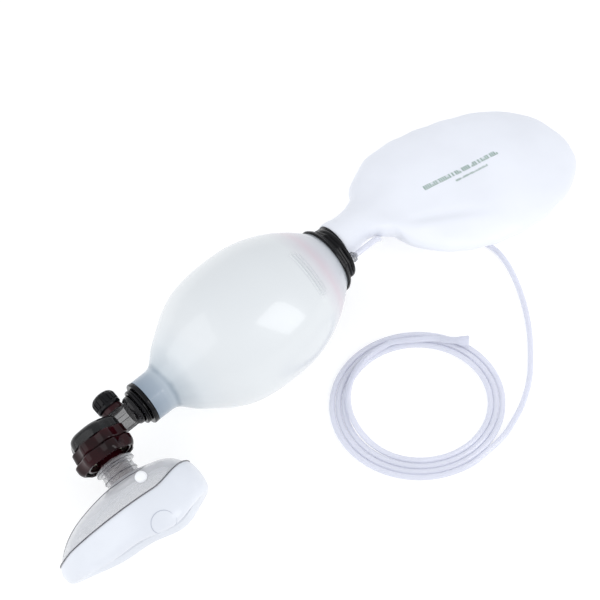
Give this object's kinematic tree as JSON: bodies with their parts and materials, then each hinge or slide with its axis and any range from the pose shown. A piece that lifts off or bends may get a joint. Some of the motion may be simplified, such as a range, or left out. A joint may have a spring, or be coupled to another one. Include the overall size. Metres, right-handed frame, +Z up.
{
  "type": "bag valve mask resuscitator",
  "caption": "Hand-squeezed silicone resuscitator with a swivelling patient valve, pop-off valve, cushioned face mask, oxygen reservoir bag and coiled oxygen tube.",
  "frame": {"origin": "centre of the footprint, without the oxygen tube, on the surface that the bag lies on", "axes": "+X along the squeeze bag from the patient valve to the reservoir bag, +Z up, the mask hangs towards -Y"},
  "size_m": [0.6362, 0.2859, 0.1272],
  "materials": {
    "silicone": "translucent satin silicone",
    "cushion_silicone": "translucent satin silicone",
    "clear_polycarbonate": "clear gloss",
    "smoke_polysulfone": "smoke-tinted gloss",
    "burgundy_polysulfone": "dark red tinted gloss",
    "black_polysulfone": "gloss",
    "valve_silicone": "matte silicone",
    "seal_rubber": "matte",
    "spring_steel": "drawn wire",
    "reservoir_film": "frosted film",
    "clear_tubing": "clear gloss"
  },
  "bodies": {
    "bag": {"squeeze_bag": "silicone", "neck_adapter": "black_polysulfone", "intake_valve_seat": "burgundy_polysulfone", "intake_valve_post": "burgundy_polysulfone", "intake_flange": "black_polysulfone", "grip_ring": "black_polysulfone", "intake_seal": "seal_rubber", "inlet_manifold": "black_polysulfone", "oxygen_nipple": "clear_polycarbonate", "reservoir_port": "clear_polycarbonate", "reservoir_cuff": "reservoir_film", "reservoir_bag": "reservoir_film", "oxygen_tube": "clear_tubing", "oxygen_tube_coil": "clear_tubing", "tube_connector": "clear_tubing"},
    "valve": {"upper_valve_housing": "smoke_polysulfone", "swivel_collar": "black_polysulfone", "lower_valve_housing": "burgundy_polysulfone", "exhalation_shroud": "smoke_polysulfone", "patient_connector": "burgundy_polysulfone", "lip_valve_ring": "burgundy_polysulfone", "popoff_seat": "burgundy_polysulfone"},
    "mask": {"mask_shell": "clear_polycarbonate", "mask_cushion": "cushion_silicone"},
    "intake_disc": {"intake_valve_disc": "valve_silicone"},
    "air_flap": {"air_inlet_flap": "valve_silicone"},
    "relief_flap": {"relief_flap": "valve_silicone"},
    "lip_valve": {"lip_valve": "valve_silicone"},
    "exhalation_diaphragm": {"exhalation_diaphragm": "valve_silicone"},
    "popoff_disc": {"popoff_disc": "valve_silicone"},
    "popoff_cap": {"popoff_cap": "black_polysulfone", "popoff_spring": "spring_steel"}
  },
  "joints": [
    {"name": "valve_swivel", "type": "hinge", "parent": "bag", "child": "valve", "pos_m": [-0.1795, 0.0172, 0.0636], "axis": [1, 0, 0], "continuous": true},
    {"name": "mask_swivel", "type": "hinge", "parent": "valve", "child": "mask", "pos_m": [-0.23, 0.0172, 0.0636], "axis": [-0.1045, -0.9779, -0.1812], "continuous": true},
    {"name": "popoff_lift", "type": "slide", "parent": "valve", "child": "popoff_disc", "axis": [0, 0.9833, 0.1822], "range_m": [0, 0.0025], "stiffness_N_per_m": 300, "springref_m": -0.003, "deforming": ["popoff_spring"]},
    {"name": "popoff_cap_turn", "type": "hinge", "parent": "valve", "child": "popoff_cap", "pos_m": [-0.2051, 0.0172, 0.0636], "axis": [0, 0.9833, 0.1822], "range_deg": [0, 90]},
    {"name": "lip_valve_lift", "type": "slide", "parent": "valve", "child": "lip_valve", "axis": [-0.1045, -0.9779, -0.1812], "range_m": [0, 0.0015], "stiffness_N_per_m": 20},
    {"name": "exhalation_lift", "type": "slide", "parent": "valve", "child": "exhalation_diaphragm", "axis": [-0.1045, -0.9779, -0.1812], "range_m": [0, 0.0012], "stiffness_N_per_m": 20},
    {"name": "intake_disc_lift", "type": "slide", "parent": "bag", "child": "intake_disc", "axis": [-1, 0, 0], "range_m": [0, 0.0025], "stiffness_N_per_m": 20},
    {"name": "air_flap_lift", "type": "slide", "parent": "bag", "child": "air_flap", "axis": [-1, 0, 0], "range_m": [0, 0.0012], "stiffness_N_per_m": 20},
    {"name": "relief_flap_lift", "type": "slide", "parent": "bag", "child": "relief_flap", "axis": [1, 0, 0], "range_m": [0, 0.0012], "stiffness_N_per_m": 20}
  ]
}
